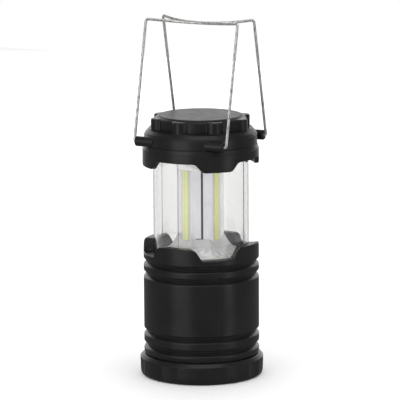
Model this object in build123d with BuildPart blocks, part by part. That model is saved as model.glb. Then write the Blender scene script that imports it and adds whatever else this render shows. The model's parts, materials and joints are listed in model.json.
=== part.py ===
from build123d import *
import math
import os

# Pull-up camping lantern: a ribbed base that holds three AA cells, a clear tube that slides
# out of it under the lamp head, three COB light strips on a hollow reflector column, and two
# wire bails. The origin is on the ground at the centre of the base, +Z up, front towards -Y,
# and the bails turn about axes parallel to X. Every size is in millimetres.

os.makedirs("parts", exist_ok=True)

# ---- Driving dimensions -------------------------------------------------------------------
travel = 61.0                # how far the head pulls up
barrel_radius = 41.4
tube_radius = 34.1
tube_wall = 2.0
cell_diameter = 14.2         # AA cell
cell_length = 50.5
wire_diameter = 2.0
bail_length = 87.2           # pivot to top bar
knob_radius = 36.7           # over the eight grips
wall = 2.2                   # moulded housings
strip_length = 52.0          # lit length of a COB strip
strip_width = 7.4

# ---- Named clearances ---------------------------------------------------------------------
slide_gap = 0.3              # tube in the rim, radial
pin_gap = 0.06               # wire foot in its boss, radial
cover_gap = 0.4              # twist-off cover over the neck, radial
cell_gap = 0.25              # cell in its socket, radial
seat_gap = 0.2               # pieces dropped into a housing
column_gap = 0.35            # hollow column over the cells, radial
stop_gap = 0.1               # head closed on the rim

# ---- Bottom cover and battery stack, from the ground up --------------------------------------
cover_height = 15.2
cover_overhang = 3.0
cover_floor = 2.6
foot_recess = 0.8
cover_radius = barrel_radius + cover_overhang
cover_bore = barrel_radius - 0.9
neck_radius = cover_bore - cover_gap
neck_wall = 2.4
neck_bore = neck_radius - neck_wall
neck_bottom = cover_floor + 1.6
carrier_bottom = cover_floor + 0.3
carrier_top = carrier_bottom + 1.9
plate_thickness = 0.3
spring_height = 2.4
cell_bottom = carrier_top + plate_thickness + spring_height
cell_top = cell_bottom + cell_length
cage_roof = 2.6
cage_top = cell_top + plate_thickness + cage_roof
flange_bottom = 14.5
flange_thickness = 2.5
flange_top = flange_bottom + flange_thickness
ledge_thickness = 1.8
boss_top = flange_top + 5.6
tube_low = boss_top + 0.4    # tube's lower end when the lantern is shut

# ---- Barrel and sliding tube -------------------------------------------------------------
barrel_bottom = cover_height + 0.25
stop_height = 4.2
stop_lip = 1.4
rim_height = 8.8
notch_depth = 8.0
stop_bottom = tube_low + travel
stop_top = stop_bottom + stop_height
rim_bottom = stop_top + seat_gap
rim_top = rim_bottom + rim_height
rim_bore = tube_radius + slide_gap
groove_depth = 2.4
groove_lead = 3.6            # height of a groove's sloping upper flank
groove_step = 1.2            # height of its steep lower flank
groove_tops = [rim_top - 12.0, rim_top - 20.9, barrel_bottom + 18.95, barrel_bottom + 9.2]
waist_bore = barrel_radius - groove_depth - 1.9
barrel_bore = barrel_radius - wall
key_width = 0.9
key_height = 0.6
key_gap = 0.25

# ---- Cells and the hollow column that slides down over them -----------------------------------
cell_radius = cell_diameter / 2
cell_ring = (cell_diameter + 0.176) / math.sqrt(3)       # cell centres, just clear of each other
pack_flat = cell_ring / 2 + cell_radius                  # across the valleys of the three cells
pack_corner = cell_ring + cell_radius
column_wall = 0.8
column_flat = pack_flat + column_gap + column_wall       # outer face that carries a strip
column_corner = pack_corner + column_gap + column_wall   # outer corner facet
strip_bottom = rim_top + 0.8
strip_top = strip_bottom + strip_length
column_bottom = strip_bottom - 2.8
corner_angles = [-60, 60, 180]
face_angles = [-120, 0, 120]
seam_half = 0.75             # dark slot between two reflector panels

# ---- Lamp head -------------------------------------------------------------------------------
head_overhang = 0.2
collar_radius = barrel_radius + head_overhang
collar_bottom = rim_top + travel + stop_gap
collar_floor = 2.2
collar_waist = collar_radius - 1.2
collar_shoulder = collar_bottom + 16.6
collar_top = collar_bottom + 20.0
head_opening = knob_radius - 3.2
tab_height = 6.1
tab_thickness = 3.2
tab_root = 15.9              # half-widths of a tab at its root and its tip
tab_tip = 10.9
tab_gap = 0.7
plate_bottom = collar_bottom + collar_floor
plate_top = plate_bottom + 2.2
knob_height = 9.3
knob_valley = knob_radius - 4.1
grip_drop = 0.9              # the grips end this far below the knob's top
knob_top = collar_top + knob_height
top_plate_radius = knob_valley - 2.9
top_plate_top = knob_top + 0.5

# ---- Bails ---------------------------------------------------------------------------------
wire_radius = wire_diameter / 2
boss_radius = wire_radius + 2.6
pivot_y = collar_radius - 10.0
pivot_z = collar_bottom + 12.7
boss_tip = math.sqrt(collar_waist**2 - pivot_y**2) + 9.8
foot_bend = wire_radius + 0.2
bail_half = boss_tip + 0.2 + foot_bend
foot_end = boss_tip - 11.0
corner_bend = 3.0
fold_gap = 1.05              # folded bar to the barrel
rest_gap = 0.4               # between the two bars where they lean together
bail_bow = barrel_radius + wire_radius + fold_gap - pivot_y
bail_lean = math.degrees(
    math.asin((pivot_y - wire_radius - rest_gap / 2) / math.hypot(bail_length, bail_bow))
    - math.atan2(bail_bow, bail_length)
)


def ray(angle, distance, offset=0.0):
    """A point at a distance from the axis along an angle, moved sideways by an offset."""
    a = math.radians(angle)
    return (
        distance * math.cos(a) - offset * math.sin(a),
        distance * math.sin(a) + offset * math.cos(a),
    )


def radial_plane(angle, distance=0.0, height=0.0):
    """An upright plane that faces outwards: its x runs sideways and its y runs up."""
    a = math.radians(angle)
    x, y = ray(angle, distance)
    return Plane(
        origin=(x, y, height),
        x_dir=(-math.sin(a), math.cos(a), 0),
        z_dir=(math.cos(a), math.sin(a), 0),
    )


def section_plane(angle):
    """An upright plane through the axis: its x runs outwards along the angle and its y runs up."""
    a = math.radians(angle)
    return Plane(
        origin=(0, 0, 0),
        x_dir=(math.cos(a), math.sin(a), 0),
        z_dir=(math.sin(a), -math.cos(a), 0),
    )


def wedge(start, end):
    """A slice of a very large disc between two angles."""
    return [(0, 0), ray(start, 99), ray((start + end) / 2, 99), ray(end, 99)]


def corner_offset(flat, corner):
    """Half the width of a corner facet, where its plane meets the planes of the faces."""
    return (flat - corner * math.cos(math.radians(60))) / math.sin(math.radians(60))


def pack_outline(flat, corner):
    """The six corners of the hexagon that wraps three cells, anticlockwise."""
    half = corner_offset(flat, corner)
    points = []
    for angle in corner_angles:
        points += [ray(angle, corner, -half), ray(angle, corner, half)]
    return points


# ---- Bottom cover: twists off to change the cells --------------------------------------------
bayonet_turn = 30
lug_half = 5.0               # half the angle that a bayonet lug takes
lug_bottom = 8.0
lug_height = 2.4
lug_reach = 1.25
cover_outline = [
    (0, foot_recess),
    (cover_radius - 8, foot_recess),
    (cover_radius - 7, 0),
    (cover_radius - 1.8, 0),
    (cover_radius - 0.5, 1.4),
    (cover_radius, 4.0),
    (cover_radius, 10.4),
    (cover_radius - 0.4, 12.6),
    (cover_bore + 1.5, cover_height),
    (cover_bore, cover_height),
    (cover_bore, cover_floor),
    (0, cover_floor),
]
scallop_radius = 40.0
scallop_depth = 0.9
with BuildPart() as bottom_cover:
    with BuildSketch(Plane.XZ):
        with BuildLine():
            Polyline(*cover_outline, close=True)
        make_face()
    revolve(axis=Axis.Z)
    # eight hollows leave eight grip pads between them
    with BuildSketch(Plane.XY.offset(-1)):
        with PolarLocations(cover_radius + scallop_radius - scallop_depth, 8, start_angle=-49.5):
            Circle(scallop_radius)
    extrude(amount=13.4, mode=Mode.SUBTRACT)
    # three bayonet lugs inside the wall
    with BuildSketch(Plane.XY.offset(lug_bottom)):
        for angle in (0, 120, 240):
            with BuildLine():
                Polyline(*wedge(angle - lug_half, angle + lug_half), close=True)
            make_face()
        Circle(cover_bore + 0.5, mode=Mode.INTERSECT)
        Circle(cover_bore - lug_reach, mode=Mode.SUBTRACT)
    extrude(amount=lug_height)
    # finger dimple in the middle of the underside
    with BuildSketch(Plane.XY.offset(foot_recess)):
        Circle(12)
    extrude(amount=0.6, taper=20, mode=Mode.SUBTRACT)
bottom_cover.part.label = "bottom_cover"
export_step(bottom_cover.part, "parts/bottom_cover.step")

# ---- Base barrel: ribbed shell with a notched rim, a bayonet neck and the cage ledge --------
seal_radius = 0.75
seal_height = 13.4
seal_center = neck_radius + 0.1 - seal_radius
seal_floor = seal_center - seal_radius
outer_wall = [(barrel_radius - 0.7, barrel_bottom), (barrel_radius, barrel_bottom + 2.6)]
for top in reversed(groove_tops):
    outer_wall += [
        (barrel_radius, top - groove_lead - groove_step),
        (barrel_radius - groove_depth, top - groove_lead),
        (barrel_radius, top),
    ]
ledge_bore = barrel_bore - 6.0
neck_outline = [
    (neck_bore, neck_bottom),
    (neck_radius, neck_bottom),
    (neck_radius, seal_height - seal_radius - 0.15),
    (seal_floor, seal_height - seal_radius - 0.15),
    (seal_floor, seal_height + seal_radius + 0.15),
    (neck_radius, seal_height + seal_radius + 0.15),
    (neck_radius, barrel_bottom),
]
inner_wall = [
    (barrel_radius, rim_top),
    (rim_bore, rim_top),
    (rim_bore, rim_bottom),
    (waist_bore, rim_bottom),
    (waist_bore, groove_tops[1] - 6.5),
    (barrel_bore, groove_tops[1] - 8.6),
    (barrel_bore, groove_tops[2] + 3.6),
    (waist_bore, groove_tops[2] + 1.5),
    (waist_bore, flange_top + ledge_thickness),
    (ledge_bore, flange_top + ledge_thickness),
    (ledge_bore, flange_top),
    (neck_bore, flange_top),
]
screw_core = 1.0
screw_ring = neck_bore - 2.7
with BuildPart() as base_barrel:
    with BuildSketch(Plane.XZ):
        with BuildLine():
            Polyline(*neck_outline, *outer_wall, *inner_wall, close=True)
        make_face()
    revolve(axis=Axis.Z)
    # four notches that the head's tabs drop into
    for angle in (-135, -45, 45, 135):
        with BuildSketch(radial_plane(angle, height=rim_top)):
            with BuildLine():
                Polyline(
                    (-tab_root - tab_gap - 4, 3), (-tab_root - tab_gap - 4, 0),
                    (-tab_root - tab_gap, 0), (-tab_tip - tab_gap, -notch_depth),
                    (tab_tip + tab_gap, -notch_depth), (tab_root + tab_gap, 0),
                    (tab_root + tab_gap + 4, 0), (tab_root + tab_gap + 4, 3), close=True,
                )
            make_face()
            fillet(vertices().group_by(Axis.Y)[0], radius=2.4)
            lips = vertices().filter_by(lambda v: abs(abs(v.X) - tab_root - tab_gap) < 0.01)
            fillet(lips, radius=2.4)
        extrude(amount=barrel_radius + 2, mode=Mode.SUBTRACT)
    # keys that stop the tube from turning
    with BuildSketch(Plane.XY.offset(rim_bottom)):
        with PolarLocations(rim_bore - key_height / 2 + 0.2, 4):
            Rectangle(key_height + 0.4, key_width)
    extrude(amount=rim_height - 0.6)
    # soften the wavy rim, outside and inside
    rim_edges = edges().filter_by(
        lambda e: e.center().Z > rim_top - notch_depth - 0.5
        and abs(math.hypot(e.center().X, e.center().Y) - barrel_radius) < 1.2
        and e.bounding_box().size.Z < notch_depth + 1
        and e.bounding_box().min.Z > rim_top - notch_depth - 0.5
    )
    fillet(rim_edges, radius=1.0)
    # mould parting line down two sides
    for angle in (-45, 135):
        with BuildSketch(section_plane(angle)):
            with BuildLine():
                Polyline(
                    (barrel_radius - 0.3, barrel_bottom + 0.4), (barrel_radius + 1, barrel_bottom + 0.4),
                    (barrel_radius + 1, groove_tops[0] - 3), (barrel_radius - 0.3, groove_tops[0] - 3),
                    close=True,
                )
            make_face()
        extrude(amount=0.2, both=True, mode=Mode.SUBTRACT)
    # bayonet slots in the neck: an entry from below, then a run to the locked place
    for low, high, start, end in (
        (lug_bottom - 0.3, lug_bottom + lug_height + 0.3, -lug_half - 1.5, bayonet_turn + lug_half + 1.5),
        (neck_bottom - 1, lug_bottom, bayonet_turn - lug_half - 1.5, bayonet_turn + lug_half + 1.5),
    ):
        with BuildSketch(Plane.XY.offset(low)):
            for angle in (0, 120, 240):
                with BuildLine():
                    Polyline(*wedge(angle + start, angle + end), close=True)
                make_face()
            Circle(neck_radius + 0.2, mode=Mode.INTERSECT)
            Circle(cover_bore - lug_reach - 0.3, mode=Mode.SUBTRACT)
        extrude(amount=high - low, mode=Mode.SUBTRACT)
    # screw bosses above the ledge
    with BuildSketch(Plane.XY.offset(flange_top)):
        with PolarLocations(screw_ring, 3, start_angle=30):
            Circle(2.4)
    extrude(amount=boss_top - flange_top)
    with BuildSketch(Plane.XY.offset(flange_top)):
        with PolarLocations(screw_ring, 3, start_angle=30):
            Circle(screw_core)
    extrude(amount=4.4, mode=Mode.SUBTRACT)
base_barrel.part.label = "base_barrel"
export_step(base_barrel.part, "parts/base_barrel.step")

# ---- Seal between neck and cover ---------------------------------------------------------------
with BuildPart() as base_seal:
    with BuildSketch(Plane.XZ):
        with Locations((seal_center, seal_height)):
            Circle(seal_radius)
    revolve(axis=Axis.Z)
base_seal.part.label = "base_seal"
export_step(base_seal.part, "parts/base_seal.step")

# ---- Battery cage: flange, sockets round the cells, struts in their valleys and a roof -------
switch_inner = pack_flat - 1.8          # where the sliding contact tabs run, in the valleys
contact_half = plate_thickness / 2
valley_slot = switch_inner - contact_half - 0.15
strut_outer = valley_slot - 0.25
strut_inner = cell_ring / 2 + 2.3
blade_center = 2.8
contact_width = 2.2
peg_ring = neck_bore - 8.0
peg_radius = 1.5
socket_radius = cell_radius + cell_gap + 1.2
with BuildPart() as battery_cage:
    with BuildSketch(Plane.XY.offset(flange_bottom)):
        Circle(neck_bore - seat_gap)
    extrude(amount=flange_thickness)
    with BuildSketch(Plane.XY.offset(flange_bottom - 5.5)):
        with PolarLocations(cell_ring, 3, start_angle=60):
            Circle(socket_radius)
    extrude(amount=22)
    with BuildSketch(Plane.XY.offset(carrier_top + 1)):
        with PolarLocations(cell_ring, 3, start_angle=60):
            Circle(cell_radius + cell_gap)
        Circle(strut_inner - 1)
    extrude(amount=40, mode=Mode.SUBTRACT)
    # three struts carry the roof
    with BuildSketch(Plane.XY.offset(flange_bottom)):
        with PolarLocations(strut_inner, 3):
            Rectangle(strut_outer - strut_inner, 4.2, align=(Align.MIN, Align.CENTER))
        with PolarLocations(cell_ring, 3, start_angle=60):
            Circle(cell_radius + 0.12, mode=Mode.SUBTRACT)
    extrude(amount=cell_top + plate_thickness - flange_bottom)
    with BuildSketch(Plane.XY.offset(cell_top + plate_thickness)):
        with BuildLine():
            Polyline(*pack_outline(pack_flat, pack_corner - 0.1), close=True)
        make_face()
        fillet(vertices(), radius=1.0)
    extrude(amount=cage_roof)
    # valley slots: one all the way down for the return strip, and two for the sliding tabs
    for low, angle in ((flange_bottom - 6, 0), (cell_top, 120), (cell_top, -120)):
        with BuildSketch(radial_plane(angle, distance=valley_slot, height=low)):
            Rectangle(contact_width + 0.4, cage_top, align=(Align.CENTER, Align.MIN))
        extrude(amount=3.2, mode=Mode.SUBTRACT)
    # way up for the positive leaf
    with BuildSketch(radial_plane(120, distance=blade_center - 0.4, height=cell_top)):
        Rectangle(contact_width + 0.4, 12)
    extrude(amount=0.8, mode=Mode.SUBTRACT)
    with BuildSketch(Plane.XY.offset(flange_bottom)):
        with PolarLocations(screw_ring, 3, start_angle=30):
            Circle(screw_core + 0.2)
        with PolarLocations(peg_ring, 3, start_angle=90):
            Circle(peg_radius + 0.1)
    extrude(amount=flange_thickness, mode=Mode.SUBTRACT)
battery_cage.part.label = "battery_cage"
export_step(battery_cage.part, "parts/battery_cage.step")

with BuildPart() as cage_screws:
    with BuildSketch(Plane.XY.offset(flange_bottom)):
        with PolarLocations(screw_ring, 3, start_angle=30):
            Circle(screw_core)
    extrude(amount=6)
    with BuildSketch(Plane.XY.offset(flange_bottom)):
        with PolarLocations(screw_ring, 3, start_angle=30):
            Circle(2.1)
    extrude(amount=-1.3)
    with BuildSketch(Plane.XY.offset(flange_bottom - 1.3)):
        with PolarLocations(screw_ring, 3, start_angle=30):
            Rectangle(0.5, 2.6)
            Rectangle(2.6, 0.5)
    extrude(amount=0.8, mode=Mode.SUBTRACT)
cage_screws.part.label = "cage_screws"
export_step(cage_screws.part, "parts/cage_screws.step")

# ---- Three cells, the middle one upside down so that they run in series ------------------------
nub_height = 1.4
for number, angle in enumerate(corner_angles, start=1):
    x, y = ray(angle, cell_ring)
    flipped = number == 2
    foot = carrier_top + plate_thickness if flipped else cell_bottom
    start = Plane(
        origin=(x, y, foot + cell_length if flipped else foot),
        z_dir=(0, 0, -1 if flipped else 1),
    )
    with BuildPart() as battery_cell:
        with BuildSketch(start):
            Circle(cell_radius)
        extrude(amount=cell_length - nub_height)
        fillet(edges(), radius=0.6)
        with BuildSketch(start.offset(cell_length - nub_height)):
            Circle(2.75)
        extrude(amount=nub_height)
    battery_cell.part.label = f"battery_cell_{number}"
    export_step(battery_cell.part, f"parts/battery_cell_{number}.step")

# ---- Contact carrier and its springs -------------------------------------------------------------
with BuildPart() as contact_carrier:
    with BuildSketch(Plane.XY.offset(carrier_bottom)):
        Circle(neck_bore - 2.5)
    extrude(amount=carrier_top - carrier_bottom)
    with BuildSketch(Plane.XY.offset(carrier_top)):
        with PolarLocations(peg_ring, 3, start_angle=90):
            Circle(peg_radius)
    extrude(amount=flange_top - carrier_top - 0.4)
contact_carrier.part.label = "contact_carrier"
export_step(contact_carrier.part, "parts/contact_carrier.step")

spring_wire = 0.3
with BuildPart() as spring_coil:
    with BuildLine() as coil:
        Helix(
            pitch=0.8, height=spring_height - 2 * spring_wire - 0.04, radius=4.2,
            center=(0, 0, -spring_wire - 0.02), direction=(0, 0, -1), cone_angle=-45,
        )
    with BuildSketch(Plane(origin=coil.line @ 0, z_dir=coil.line % 0)):
        Circle(spring_wire)
    sweep()
for number, angle in enumerate(corner_angles, start=1):
    x, y = ray(angle, cell_ring)
    if number == 2:
        seat, turn = cell_top, 0
    else:
        seat, turn = carrier_top + plate_thickness, 180
    with BuildPart(Location((x, y, seat), (turn, 0, 0))) as cell_spring:
        add(spring_coil.part)
    cell_spring.part.label = f"cell_spring_{number}"
    export_step(cell_spring.part, f"parts/cell_spring_{number}.step")

# ---- Contact plates, return strip and the two switch leaves -----------------------------------
plate_radius = 4.8
with BuildPart() as bottom_bridge:
    with BuildSketch(Plane.XY.offset(carrier_top)):
        with Locations(ray(60, cell_ring), ray(180, cell_ring)):
            Circle(plate_radius)
        make_hull()
    extrude(amount=plate_thickness)
bottom_bridge.part.label = "bottom_bridge"
export_step(bottom_bridge.part, "parts/bottom_bridge.step")

with BuildPart() as top_bridge:
    with BuildSketch(Plane.XY.offset(cell_top)):
        with Locations(ray(-60, cell_ring), ray(60, cell_ring)):
            Circle(plate_radius - 1.2)
        make_hull()
        # notched round the strut
        with Locations((strut_inner - 0.1, 0)):
            Rectangle(5, 5, align=(Align.MIN, Align.CENTER), mode=Mode.SUBTRACT)
    extrude(amount=plate_thickness)
top_bridge.part.label = "top_bridge"
export_step(top_bridge.part, "parts/top_bridge.step")

with BuildPart() as return_strip:
    with BuildSketch(Plane.XY.offset(carrier_top)):
        with Locations(ray(-60, cell_ring)):
            Circle(plate_radius)
        with Locations((switch_inner, 0)):
            Circle(contact_width / 2)
        make_hull()
    extrude(amount=plate_thickness)
    with BuildSketch(section_plane(0)):
        with BuildLine():
            Polyline(
                (switch_inner, carrier_top + 0.1), (switch_inner, cage_top + contact_half),
                (5.0, cage_top + contact_half),
            )
        trace(line_width=plate_thickness)
    extrude(amount=contact_width / 2, both=True)
return_strip.part.label = "return_strip"
export_step(return_strip.part, "parts/return_strip.step")

leaf_top = column_bottom + 9.0
leaf_tip = switch_inner - plate_thickness - 0.25
leaf_bend = [(blade_center, leaf_top - 12), (leaf_tip, leaf_top - 6), (leaf_tip - 1.4, leaf_top)]
with BuildPart() as leaf_positive:
    with BuildSketch(Plane.XY.offset(cell_top)):
        with Locations(ray(180, cell_ring)):
            Circle(plate_radius - 1.2)
        with Locations(ray(120, blade_center)):
            Circle(contact_width / 2)
        make_hull()
    extrude(amount=plate_thickness)
    with BuildSketch(section_plane(120)):
        with BuildLine():
            Polyline((blade_center, cell_top), *leaf_bend)
        trace(line_width=plate_thickness)
    extrude(amount=contact_width / 2, both=True)
leaf_positive.part.label = "leaf_positive"
export_step(leaf_positive.part, "parts/leaf_positive.step")

with BuildPart() as leaf_negative:
    with BuildSketch(Plane.XY.offset(cage_top)):
        with BuildLine():
            Polyline(*wedge(-135, 8), close=True)
        make_face()
        Circle(4.7, mode=Mode.INTERSECT)
        Circle(3.1, mode=Mode.SUBTRACT)
    extrude(amount=plate_thickness)
    with BuildSketch(section_plane(-120)):
        with BuildLine():
            Polyline((4.0, cage_top + contact_half), (blade_center, cage_top + contact_half), *leaf_bend)
        trace(line_width=plate_thickness)
    extrude(amount=contact_width / 2, both=True)
leaf_negative.part.label = "leaf_negative"
export_step(leaf_negative.part, "parts/leaf_negative.step")

# ---- Post that holds the switch leaves apart ------------------------------------------------------
with BuildPart() as contact_post:
    with BuildSketch(Plane.XY.offset(cage_top)):
        Circle(blade_center - contact_half - 0.05)
    extrude(amount=leaf_top - 11 - cage_top)
    chamfer(edges().group_by(Axis.Z)[-1], length=0.6)
contact_post.part.label = "contact_post"
export_step(contact_post.part, "parts/contact_post.step")

# ==== Sliding lamp head ====================================================================
tube_top = plate_bottom
tube_bottom = stop_bottom + 0.6
tube_bead = 1.4              # bead round the tube's top, held between collar and head plate
bead_height = 1.3
with BuildPart() as clear_tube:
    with BuildSketch(Plane.XY.offset(tube_bottom)):
        Circle(tube_radius)
        Circle(tube_radius - tube_wall, mode=Mode.SUBTRACT)
        # four keyways let the rim's keys stop the tube from turning
        with PolarLocations(tube_radius, 4):
            Rectangle(2 * (key_height - slide_gap + key_gap), key_width + 0.4, mode=Mode.SUBTRACT)
    extrude(amount=tube_top - tube_bottom)
    with BuildSketch(Plane.XY.offset(tube_top - bead_height)):
        Circle(tube_radius + tube_bead)
        Circle(tube_radius - tube_wall, mode=Mode.SUBTRACT)
    extrude(amount=bead_height)
    # fine moulded line round the bore
    with BuildSketch(Plane.XY.offset(rim_top + 0.2)):
        Circle(tube_radius - tube_wall + 0.3)
        Circle(tube_radius - tube_wall - 1, mode=Mode.SUBTRACT)
    extrude(amount=0.5, mode=Mode.SUBTRACT)
clear_tube.part.label = "clear_tube"
export_step(clear_tube.part, "parts/clear_tube.step")

with BuildPart() as stop_ring:
    with BuildSketch(Plane.XY.offset(stop_bottom)):
        Circle(tube_radius + stop_lip)
        Circle(tube_radius - tube_wall + 0.2, mode=Mode.SUBTRACT)
    extrude(amount=tube_bottom - stop_bottom)
    with BuildSketch(Plane.XY.offset(tube_bottom)):
        Circle(tube_radius + stop_lip)
        Circle(tube_radius, mode=Mode.SUBTRACT)
        with PolarLocations(tube_radius, 4):
            Rectangle(2 * (key_height - slide_gap), key_width)
    extrude(amount=stop_top - tube_bottom)
stop_ring.part.label = "stop_ring"
export_step(stop_ring.part, "parts/stop_ring.step")

# ---- Hollow column: a black frame that carries three bent reflector panels ----------------------
panel_top = strip_top + 1.0
inner_flat = column_flat - column_wall
inner_corner = column_corner - column_wall
frame_foot = 1.4
clip_width = 3.6             # black clip at the foot of each seam
clip_height = 6.0
board_width = 12.0
tongue_width = 6.0
with BuildPart() as column_frame:
    with BuildSketch(Plane.XY.offset(column_bottom - frame_foot)):
        with BuildLine():
            Polyline(*pack_outline(column_flat, column_corner), close=True)
        make_face()
        with BuildLine():
            Polyline(*pack_outline(inner_flat, inner_corner), close=True)
        make_face(mode=Mode.SUBTRACT)
    extrude(amount=frame_foot)
    for angle in corner_angles:
        with BuildSketch(radial_plane(angle, distance=inner_corner, height=column_bottom - 0.2)):
            Rectangle(2 * seam_half - 0.1, panel_top - column_bottom + 0.4,
                      align=(Align.CENTER, Align.MIN))
        extrude(amount=0.45)
        with BuildSketch(radial_plane(angle, distance=inner_corner, height=column_bottom - 0.2)):
            with Locations((-seam_half, 0)):
                Rectangle(clip_width, clip_height, align=(Align.MAX, Align.MIN))
        extrude(amount=column_wall)
    with BuildSketch(Plane.XY.offset(panel_top)):
        with BuildLine():
            Polyline(*pack_outline(column_flat, column_corner), close=True)
        make_face()
        with BuildLine():
            Polyline(*pack_outline(inner_flat, inner_corner), close=True)
        make_face(mode=Mode.SUBTRACT)
    extrude(amount=plate_bottom - panel_top)
    with BuildSketch(Plane.XY.offset(plate_bottom - 1.2)):
        with BuildLine():
            Polyline(*pack_outline(column_flat + 1.6, column_corner + 1.6), close=True)
        make_face()
        with BuildLine():
            Polyline(*pack_outline(inner_flat, inner_corner), close=True)
        make_face(mode=Mode.SUBTRACT)
    extrude(amount=1.2)
    for angle in face_angles:
        with BuildSketch(radial_plane(angle, distance=inner_flat - 0.5, height=panel_top - 0.1)):
            Rectangle(board_width + 0.2, 30, align=(Align.CENTER, Align.MIN))
        extrude(amount=column_wall + 0.55, mode=Mode.SUBTRACT)
column_frame.part.label = "column_frame"
export_step(column_frame.part, "parts/column_frame.step")

half_outer = corner_offset(column_flat, column_corner)
half_inner = corner_offset(inner_flat, inner_corner)
for number, angle in enumerate(face_angles, start=1):
    start, end = angle - 60, angle + 60
    with BuildPart() as reflector_panel:
        with BuildSketch(Plane.XY.offset(column_bottom)):
            with BuildLine():
                Polyline(
                    ray(start, column_corner, seam_half), ray(start, column_corner, half_outer),
                    ray(end, column_corner, -half_outer), ray(end, column_corner, -seam_half),
                    ray(end, inner_corner, -seam_half), ray(end, inner_corner, -half_inner),
                    ray(start, inner_corner, half_inner), ray(start, inner_corner, seam_half),
                    close=True,
                )
            make_face()
        extrude(amount=panel_top - column_bottom)
        # window for the strip's board, open at the top
        with BuildSketch(radial_plane(angle, distance=inner_flat - 1, height=strip_bottom - 1.1)):
            Rectangle(board_width + 0.1, panel_top, align=(Align.CENTER, Align.MIN))
        extrude(amount=column_wall + 2, mode=Mode.SUBTRACT)
        with BuildSketch(radial_plane(end, distance=inner_corner - 1, height=column_bottom - 1)):
            with Locations((-seam_half + 1, 0)):
                Rectangle(clip_width + 1.1, clip_height + 0.9, align=(Align.MAX, Align.MIN))
        extrude(amount=column_wall + 2, mode=Mode.SUBTRACT)
    reflector_panel.part.label = f"reflector_panel_{number}"
    export_step(reflector_panel.part, f"parts/reflector_panel_{number}.step")

# ---- COB boards in the windows, each with its yellow strip ---------------------------------------
driver_bottom = plate_top + 4.4
driver_thickness = 1.6
strip_height = 1.0
for number, angle in enumerate(face_angles, start=1):
    with BuildPart() as cob_board:
        with BuildSketch(radial_plane(angle, distance=inner_flat, height=strip_bottom - 1.05)):
            Rectangle(board_width, plate_bottom - strip_bottom + 1.0, align=(Align.CENTER, Align.MIN))
            Rectangle(tongue_width, driver_bottom + driver_thickness - strip_bottom + 1.4,
                      align=(Align.CENTER, Align.MIN))
        extrude(amount=column_wall)
    cob_board.part.label = f"cob_board_{number}"
    export_step(cob_board.part, f"parts/cob_board_{number}.step")
    with BuildPart() as cob_strip:
        with BuildSketch(radial_plane(angle, distance=column_flat,
                                      height=strip_bottom + strip_length / 2)):
            Rectangle(strip_width, strip_length)
            fillet(vertices(), radius=1.6)
        extrude(amount=strip_height)
        fillet(faces().sort_by(Axis(origin=(0, 0, 0), direction=(*ray(angle, 1), 0)))[-1].edges(),
               radius=0.7)
    cob_strip.part.label = f"cob_strip_{number}"
    export_step(cob_strip.part, f"parts/cob_strip_{number}.step")

# ---- Sliding contact tabs on two of the boards ---------------------------------------------------
for number, angle in enumerate((120, -120), start=1):
    with BuildPart() as switch_tab:
        with BuildSketch(section_plane(angle)):
            with BuildLine():
                Polyline(
                    (inner_flat - contact_half, column_bottom + 6),
                    (inner_flat - contact_half, column_bottom + 0.6),
                    (switch_inner, column_bottom + 0.6),
                    (switch_inner, column_bottom + 5.5),
                )
            trace(line_width=plate_thickness)
        extrude(amount=contact_width / 2, both=True)
    switch_tab.part.label = f"switch_tab_{number}"
    export_step(switch_tab.part, f"parts/switch_tab_{number}.step")

# ---- Bottom reflector: shelf, flare and skirt inside the tube ---------------------------------
skirt_radius = tube_radius - tube_wall - 0.2
dish_wall = 1.0
dish_top = strip_bottom - 0.8            # narrow shelf under the strips
dish_edge = dish_top - 8.2               # where the flare meets the tube
dish_shelf = column_corner + 0.9
with BuildPart() as bottom_reflector:
    with BuildSketch(Plane.XZ):
        with BuildLine():
            Line((column_flat - 1, dish_top), (dish_shelf, dish_top))
            ThreePointArc(
                (dish_shelf, dish_top), (dish_shelf + 4.0, dish_top - 4.3), (skirt_radius, dish_edge)
            )
            Polyline(
                (skirt_radius, dish_edge),
                (skirt_radius, stop_bottom + 0.8),
                (skirt_radius - dish_wall, stop_bottom + 0.8),
                (skirt_radius - dish_wall, dish_edge - 1.1),
            )
            ThreePointArc(
                (skirt_radius - dish_wall, dish_edge - 1.1),
                (dish_shelf + 3.2, dish_top - 5.0),
                (dish_shelf - 0.5, dish_top - dish_wall),
            )
            Polyline(
                (dish_shelf - 0.5, dish_top - dish_wall),
                (column_flat - 1, dish_top - dish_wall),
                (column_flat - 1, dish_top),
            )
        make_face()
    revolve(axis=Axis.Z)
    with BuildSketch(Plane.XY.offset(dish_top - 3)):
        with BuildLine():
            Polyline(*pack_outline(column_flat + 0.1, column_corner + 0.1), close=True)
        make_face()
    extrude(amount=6, mode=Mode.SUBTRACT)
bottom_reflector.part.label = "bottom_reflector"
export_step(bottom_reflector.part, "parts/bottom_reflector.step")

# ---- Top reflector: flares from the column out to the tube under the collar -----------------------
flare_low = strip_top
flare_high = collar_bottom - 0.4
flare_foot = column_corner + 0.6
with BuildPart() as top_reflector:
    with BuildSketch(Plane.XZ):
        with BuildLine():
            outside = ThreePointArc(
                (flare_foot, flare_low),
                (flare_foot + 3.2, flare_high - 3.0), (skirt_radius, flare_high),
            )
            Line(outside @ 1, (skirt_radius, flare_high + 1.0))
            inside = ThreePointArc(
                (skirt_radius, flare_high + 1.0),
                (flare_foot + 2.4, flare_high - 2.0), (flare_foot - 0.9, flare_low + 0.6),
            )
            Line(inside @ 1, outside @ 0)
        make_face()
    revolve(axis=Axis.Z)
    with BuildSketch(Plane.XY.offset(flare_low - 1)):
        with BuildLine():
            Polyline(*pack_outline(column_flat + 0.1, column_corner + 0.1), close=True)
        make_face()
    extrude(amount=flare_high - flare_low + 4, mode=Mode.SUBTRACT)
top_reflector.part.label = "top_reflector"
export_step(top_reflector.part, "parts/top_reflector.step")

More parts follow.
